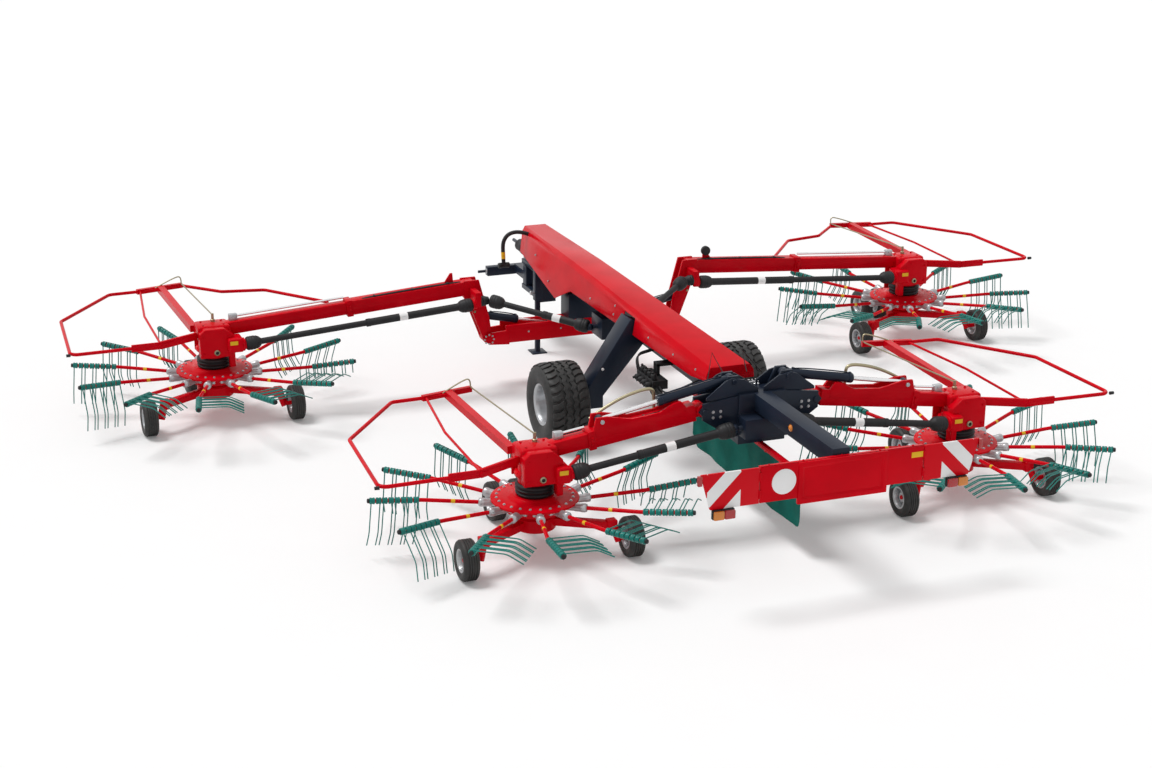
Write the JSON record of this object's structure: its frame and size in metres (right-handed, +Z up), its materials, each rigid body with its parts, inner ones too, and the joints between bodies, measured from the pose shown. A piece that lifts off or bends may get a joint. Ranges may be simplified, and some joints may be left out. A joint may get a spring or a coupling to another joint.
{
  "type": "four-rotor hay rake",
  "caption": "Towed rotary hay rake with folding telescopic booms, tined rotors on small wheels, a hooded main frame, a swath curtain and a striped light bar, lowered for work.",
  "frame": {"origin": "on the ground under the middle of the machine, below the road axle", "axes": "+Z up, +Y the way it travels, +X to its right"},
  "size_m": [12.4852, 9.5, 1.61],
  "materials": {
    "red_paint": "gloss signal red enamel",
    "navy_paint": "satin navy black enamel",
    "tyre_rubber": "black rubber on a silver rim",
    "shaft_guard": "black moulded plastic",
    "piston_chrome": "polished chrome rod",
    "curtain_fabric": "green coated fabric",
    "lamp_lens": "amber and red lenses",
    "tine_green": "teal green coated spring steel",
    "silver_metal": "silver painted rims and arm housings",
    "zinc_steel": "zinc plated steel",
    "label_plastic": "plain yellow and white films"
  },
  "bodies": {
    "frame": {"main_frame": "navy_paint", "front_crossbeam": "red_paint", "axle_legs": "navy_paint", "hood": "red_paint", "light_bar": "red_paint", "lamps": "lamp_lens", "swath_curtain": "curtain_fabric"},
    "headstock": {"headstock": "navy_paint"},
    "parking_stand": {"parking_stand": "navy_paint"},
    "left_road_wheel": {"left_road_wheel": "tyre_rubber"},
    "right_road_wheel": {"right_road_wheel": "tyre_rubber"},
    "front_left_boom": {"front_left_boom": "red_paint", "front_left_shaft_sleeve": "shaft_guard"},
    "front_left_carriage": {"front_left_carriage": "red_paint", "front_left_guard": "red_paint", "front_left_shaft_core": "shaft_guard"},
    "front_left_rotor": {"front_left_rotor": "red_paint"},
    "front_left_outer_wheel": {"front_left_outer_wheel": "tyre_rubber"},
    "front_left_inner_wheel": {"front_left_inner_wheel": "tyre_rubber"},
    "front_left_castor_wheels": {"front_left_castor_wheels": "tyre_rubber"},
    "front_left_cylinder_barrel": {"front_left_cylinder_barrel": "navy_paint"},
    "front_left_cylinder_rod": {"front_left_cylinder_rod": "piston_chrome"},
    "front_left_relay_sleeve": {"front_left_relay_sleeve": "shaft_guard"},
    "front_left_relay_core": {"front_left_relay_core": "shaft_guard"},
    "front_right_boom": {"front_right_boom": "red_paint", "front_right_shaft_sleeve": "shaft_guard"},
    "front_right_carriage": {"front_right_carriage": "red_paint", "front_right_guard": "red_paint", "front_right_shaft_core": "shaft_guard"},
    "front_right_rotor": {"front_right_rotor": "red_paint"},
    "front_right_outer_wheel": {"front_right_outer_wheel": "tyre_rubber"},
    "front_right_inner_wheel": {"front_right_inner_wheel": "tyre_rubber"},
    "front_right_castor_wheels": {"front_right_castor_wheels": "tyre_rubber"},
    "front_right_cylinder_barrel": {"front_right_cylinder_barrel": "navy_paint"},
    "front_right_cylinder_rod": {"front_right_cylinder_rod": "piston_chrome"},
    "front_right_relay_sleeve": {"front_right_relay_sleeve": "shaft_guard"},
    "front_right_relay_core": {"front_right_relay_core": "shaft_guard"},
    "rear_left_boom": {"rear_left_boom": "red_paint"},
    "rear_left_carriage": {"rear_left_carriage": "red_paint", "rear_left_guard": "red_paint"},
    "rear_left_rotor": {"rear_left_rotor": "red_paint"},
    "rear_left_outer_wheel": {"rear_left_outer_wheel": "tyre_rubber"},
    "rear_left_inner_wheel": {"rear_left_inner_wheel": "tyre_rubber"},
    "rear_left_castor_wheels": {"rear_left_castor_wheels": "tyre_rubber"},
    "rear_left_cylinder_barrel": {"rear_left_cylinder_barrel": "navy_paint"},
    "rear_left_cylinder_rod": {"rear_left_cylinder_rod": "piston_chrome"},
    "rear_left_shaft_sleeve": {"rear_left_shaft_sleeve": "shaft_guard"},
    "rear_left_shaft_core": {"rear_left_shaft_core": "shaft_guard"},
    "rear_right_boom": {"rear_right_boom": "red_paint"},
    "rear_right_carriage": {"rear_right_carriage": "red_paint", "rear_right_guard": "red_paint"},
    "rear_right_rotor": {"rear_right_rotor": "red_paint"},
    "rear_right_outer_wheel": {"rear_right_outer_wheel": "tyre_rubber"},
    "rear_right_inner_wheel": {"rear_right_inner_wheel": "tyre_rubber"},
    "rear_right_castor_wheels": {"rear_right_castor_wheels": "tyre_rubber"},
    "rear_right_cylinder_barrel": {"rear_right_cylinder_barrel": "navy_paint"},
    "rear_right_cylinder_rod": {"rear_right_cylinder_rod": "piston_chrome"},
    "rear_right_shaft_sleeve": {"rear_right_shaft_sleeve": "shaft_guard"},
    "rear_right_shaft_core": {"rear_right_shaft_core": "shaft_guard"}
  },
  "joints": [
    {"name": "headstock_swivel", "type": "hinge", "parent": "frame", "child": "headstock", "pos_m": [0, 4.05, 0.8], "axis": [0, 0, 1], "range_deg": [-30, 30]},
    {"name": "parking_stand_lift", "type": "slide", "parent": "frame", "child": "parking_stand", "axis": [0, 0, 1], "range_m": [0, 0.2]},
    {"name": "left_road_wheel_spin", "type": "hinge", "parent": "frame", "child": "left_road_wheel", "pos_m": [-1.1, 0, 0.4725], "axis": [1, 0, 0], "continuous": true},
    {"name": "right_road_wheel_spin", "type": "hinge", "parent": "frame", "child": "right_road_wheel", "pos_m": [1.1, 0, 0.4725], "axis": [1, 0, 0], "continuous": true},
    {"name": "front_left_fold", "type": "hinge", "parent": "frame", "child": "front_left_boom", "pos_m": [-1.23, 2.22, 0.61], "axis": [0, 1, 0], "range_deg": [0, 90]},
    {"name": "front_left_telescope", "type": "slide", "parent": "front_left_boom", "child": "front_left_carriage", "axis": [0.9974, 0, 0.0723], "range_m": [0, 1.25]},
    {"name": "front_left_rotor_spin", "type": "hinge", "parent": "front_left_carriage", "child": "front_left_rotor", "pos_m": [-4.567, 2.22, 0.5], "axis": [0, 0, 1], "continuous": true},
    {"name": "front_left_outer_wheel_spin", "type": "hinge", "parent": "front_left_carriage", "child": "front_left_outer_wheel", "pos_m": [-5.417, 1.767, 0.205], "axis": [1, 0, 0], "continuous": true},
    {"name": "front_left_inner_wheel_spin", "type": "hinge", "parent": "front_left_carriage", "child": "front_left_inner_wheel", "pos_m": [-3.717, 1.767, 0.205], "axis": [1, 0, 0], "continuous": true},
    {"name": "front_left_castor_wheels_spin", "type": "hinge", "parent": "front_left_carriage", "child": "front_left_castor_wheels", "pos_m": [-4.567, 3.1, 0.205], "axis": [1, 0, 0], "continuous": true},
    {"name": "front_left_cylinder_swing", "type": "hinge", "parent": "front_left_boom", "child": "front_left_cylinder_barrel", "pos_m": [-1.275, 2.22, 0.89], "axis": [0, 1, 0], "range_deg": [-109.07, 0]},
    {"name": "front_left_cylinder_stroke", "type": "slide", "parent": "front_left_cylinder_barrel", "child": "front_left_cylinder_rod", "axis": [0.9772, 0, -0.2122], "range_m": [-0.35042, 0]},
    {"name": "front_left_relay_swing", "type": "hinge", "parent": "frame", "child": "front_left_relay_sleeve", "pos_m": [-0.29, 1.13, 0.95], "axis": [-0.561, -0.5117, -0.6507], "range_deg": [0, 36.76]},
    {"name": "front_left_relay_stretch", "type": "slide", "parent": "front_left_relay_sleeve", "child": "front_left_relay_core", "axis": [-0.7577, 0.634, 0.1546], "range_m": [-0.48066, 0]},
    {"name": "front_right_fold", "type": "hinge", "parent": "frame", "child": "front_right_boom", "pos_m": [1.23, 2.22, 0.61], "axis": [0, -1, 0], "range_deg": [0, 90]},
    {"name": "front_right_telescope", "type": "slide", "parent": "front_right_boom", "child": "front_right_carriage", "axis": [-0.9974, 0, 0.0723], "range_m": [0, 1.25]},
    {"name": "front_right_rotor_spin", "type": "hinge", "parent": "front_right_carriage", "child": "front_right_rotor", "pos_m": [4.567, 2.22, 0.5], "axis": [0, 0, 1], "continuous": true},
    {"name": "front_right_outer_wheel_spin", "type": "hinge", "parent": "front_right_carriage", "child": "front_right_outer_wheel", "pos_m": [5.417, 1.767, 0.205], "axis": [1, 0, 0], "continuous": true},
    {"name": "front_right_inner_wheel_spin", "type": "hinge", "parent": "front_right_carriage", "child": "front_right_inner_wheel", "pos_m": [3.717, 1.767, 0.205], "axis": [1, 0, 0], "continuous": true},
    {"name": "front_right_castor_wheels_spin", "type": "hinge", "parent": "front_right_carriage", "child": "front_right_castor_wheels", "pos_m": [4.567, 3.1, 0.205], "axis": [1, 0, 0], "continuous": true},
    {"name": "front_right_cylinder_swing", "type": "hinge", "parent": "front_right_boom", "child": "front_right_cylinder_barrel", "pos_m": [1.275, 2.22, 0.89], "axis": [0, -1, 0], "range_deg": [-109.07, 0]},
    {"name": "front_right_cylinder_stroke", "type": "slide", "parent": "front_right_cylinder_barrel", "child": "front_right_cylinder_rod", "axis": [-0.9772, 0, -0.2122], "range_m": [-0.35042, 0]},
    {"name": "front_right_relay_swing", "type": "hinge", "parent": "frame", "child": "front_right_relay_sleeve", "pos_m": [0.29, 1.13, 0.95], "axis": [-0.561, 0.5117, 0.6507], "range_deg": [0, 36.76]},
    {"name": "front_right_relay_stretch", "type": "slide", "parent": "front_right_relay_sleeve", "child": "front_right_relay_core", "axis": [0.7577, 0.634, 0.1546], "range_m": [-0.48066, 0]},
    {"name": "rear_left_fold", "type": "hinge", "parent": "frame", "child": "rear_left_boom", "pos_m": [-0.62, -2.8, 1.28], "axis": [0, 1, 0], "range_deg": [0, 90]},
    {"name": "rear_left_telescope", "type": "slide", "parent": "rear_left_boom", "child": "rear_left_carriage", "axis": [0.9901, 0, 0.1403], "range_m": [-0.38, 0.12]},
    {"name": "rear_left_rotor_spin", "type": "hinge", "parent": "rear_left_carriage", "child": "rear_left_rotor", "pos_m": [-2.373, -2.8, 0.5], "axis": [0, 0, 1], "continuous": true},
    {"name": "rear_left_outer_wheel_spin", "type": "hinge", "parent": "rear_left_carriage", "child": "rear_left_outer_wheel", "pos_m": [-3.223, -3.253, 0.205], "axis": [1, 0, 0], "continuous": true},
    {"name": "rear_left_inner_wheel_spin", "type": "hinge", "parent": "rear_left_carriage", "child": "rear_left_inner_wheel", "pos_m": [-1.523, -3.253, 0.205], "axis": [1, 0, 0], "continuous": true},
    {"name": "rear_left_castor_wheels_spin", "type": "hinge", "parent": "rear_left_carriage", "child": "rear_left_castor_wheels", "pos_m": [-2.373, -1.92, 0.205], "axis": [1, 0, 0], "continuous": true},
    {"name": "rear_left_cylinder_swing", "type": "hinge", "parent": "frame", "child": "rear_left_cylinder_barrel", "pos_m": [-0.3, -2.8, 1.56], "axis": [0, 1, 0], "range_deg": [0, 81.45]},
    {"name": "rear_left_cylinder_stroke", "type": "slide", "parent": "rear_left_cylinder_barrel", "child": "rear_left_cylinder_rod", "axis": [-0.9826, 0, -0.186], "range_m": [-0.58007, 0]},
    {"name": "rear_left_shaft_swing", "type": "hinge", "parent": "frame", "child": "rear_left_shaft_sleeve", "pos_m": [-0.35, -3.06, 1.11826], "axis": [0, 1, 0], "range_deg": [0, 77]},
    {"name": "rear_left_shaft_stretch", "type": "slide", "parent": "rear_left_shaft_sleeve", "child": "rear_left_shaft_core", "axis": [0.9901, 0, 0.1403], "range_m": [-0.39, 0.13]},
    {"name": "rear_right_fold", "type": "hinge", "parent": "frame", "child": "rear_right_boom", "pos_m": [0.62, -2.8, 1.28], "axis": [0, -1, 0], "range_deg": [0, 90]},
    {"name": "rear_right_telescope", "type": "slide", "parent": "rear_right_boom", "child": "rear_right_carriage", "axis": [-0.9901, 0, 0.1403], "range_m": [-0.38, 0.12]},
    {"name": "rear_right_rotor_spin", "type": "hinge", "parent": "rear_right_carriage", "child": "rear_right_rotor", "pos_m": [2.373, -2.8, 0.5], "axis": [0, 0, 1], "continuous": true},
    {"name": "rear_right_outer_wheel_spin", "type": "hinge", "parent": "rear_right_carriage", "child": "rear_right_outer_wheel", "pos_m": [3.223, -3.253, 0.205], "axis": [1, 0, 0], "continuous": true},
    {"name": "rear_right_inner_wheel_spin", "type": "hinge", "parent": "rear_right_carriage", "child": "rear_right_inner_wheel", "pos_m": [1.523, -3.253, 0.205], "axis": [1, 0, 0], "continuous": true},
    {"name": "rear_right_castor_wheels_spin", "type": "hinge", "parent": "rear_right_carriage", "child": "rear_right_castor_wheels", "pos_m": [2.373, -1.92, 0.205], "axis": [1, 0, 0], "continuous": true},
    {"name": "rear_right_cylinder_swing", "type": "hinge", "parent": "frame", "child": "rear_right_cylinder_barrel", "pos_m": [0.3, -2.8, 1.56], "axis": [0, -1, 0], "range_deg": [0, 81.45]},
    {"name": "rear_right_cylinder_stroke", "type": "slide", "parent": "rear_right_cylinder_barrel", "child": "rear_right_cylinder_rod", "axis": [0.9826, 0, -0.186], "range_m": [-0.58007, 0]},
    {"name": "rear_right_shaft_swing", "type": "hinge", "parent": "frame", "child": "rear_right_shaft_sleeve", "pos_m": [0.35, -3.06, 1.11826], "axis": [0, -1, 0], "range_deg": [0, 77]},
    {"name": "rear_right_shaft_stretch", "type": "slide", "parent": "rear_right_shaft_sleeve", "child": "rear_right_shaft_core", "axis": [-0.9901, 0, 0.1403], "range_m": [-0.39, 0.13]}
  ],
  "couplings": [
    {"joint": "front_left_cylinder_swing", "follows": "front_left_fold", "ratio": -1.1881},
    {"joint": "front_left_cylinder_stroke", "follows": "front_left_fold", "m_per_rad": -0.21871},
    {"joint": "front_left_relay_swing", "follows": "front_left_fold", "ratio": 0.40047},
    {"joint": "front_left_relay_stretch", "follows": "front_left_fold", "m_per_rad": -0.3},
    {"joint": "front_right_cylinder_swing", "follows": "front_right_fold", "ratio": -1.1881},
    {"joint": "front_right_cylinder_stroke", "follows": "front_right_fold", "m_per_rad": -0.21871},
    {"joint": "front_right_relay_swing", "follows": "front_right_fold", "ratio": 0.40047},
    {"joint": "front_right_relay_stretch", "follows": "front_right_fold", "m_per_rad": -0.3},
    {"joint": "rear_left_cylinder_swing", "follows": "rear_left_fold", "ratio": 0.88721},
    {"joint": "rear_left_cylinder_stroke", "follows": "rear_left_fold", "m_per_rad": -0.36204},
    {"joint": "rear_left_shaft_swing", "follows": "rear_left_fold", "ratio": 0.83881},
    {"joint": "rear_left_shaft_stretch", "follows": "rear_left_telescope", "ratio": 1},
    {"joint": "rear_right_cylinder_swing", "follows": "rear_right_fold", "ratio": 0.88721},
    {"joint": "rear_right_cylinder_stroke", "follows": "rear_right_fold", "m_per_rad": -0.36204},
    {"joint": "rear_right_shaft_swing", "follows": "rear_right_fold", "ratio": 0.83881},
    {"joint": "rear_right_shaft_stretch", "follows": "rear_right_telescope", "ratio": 1}
  ]
}
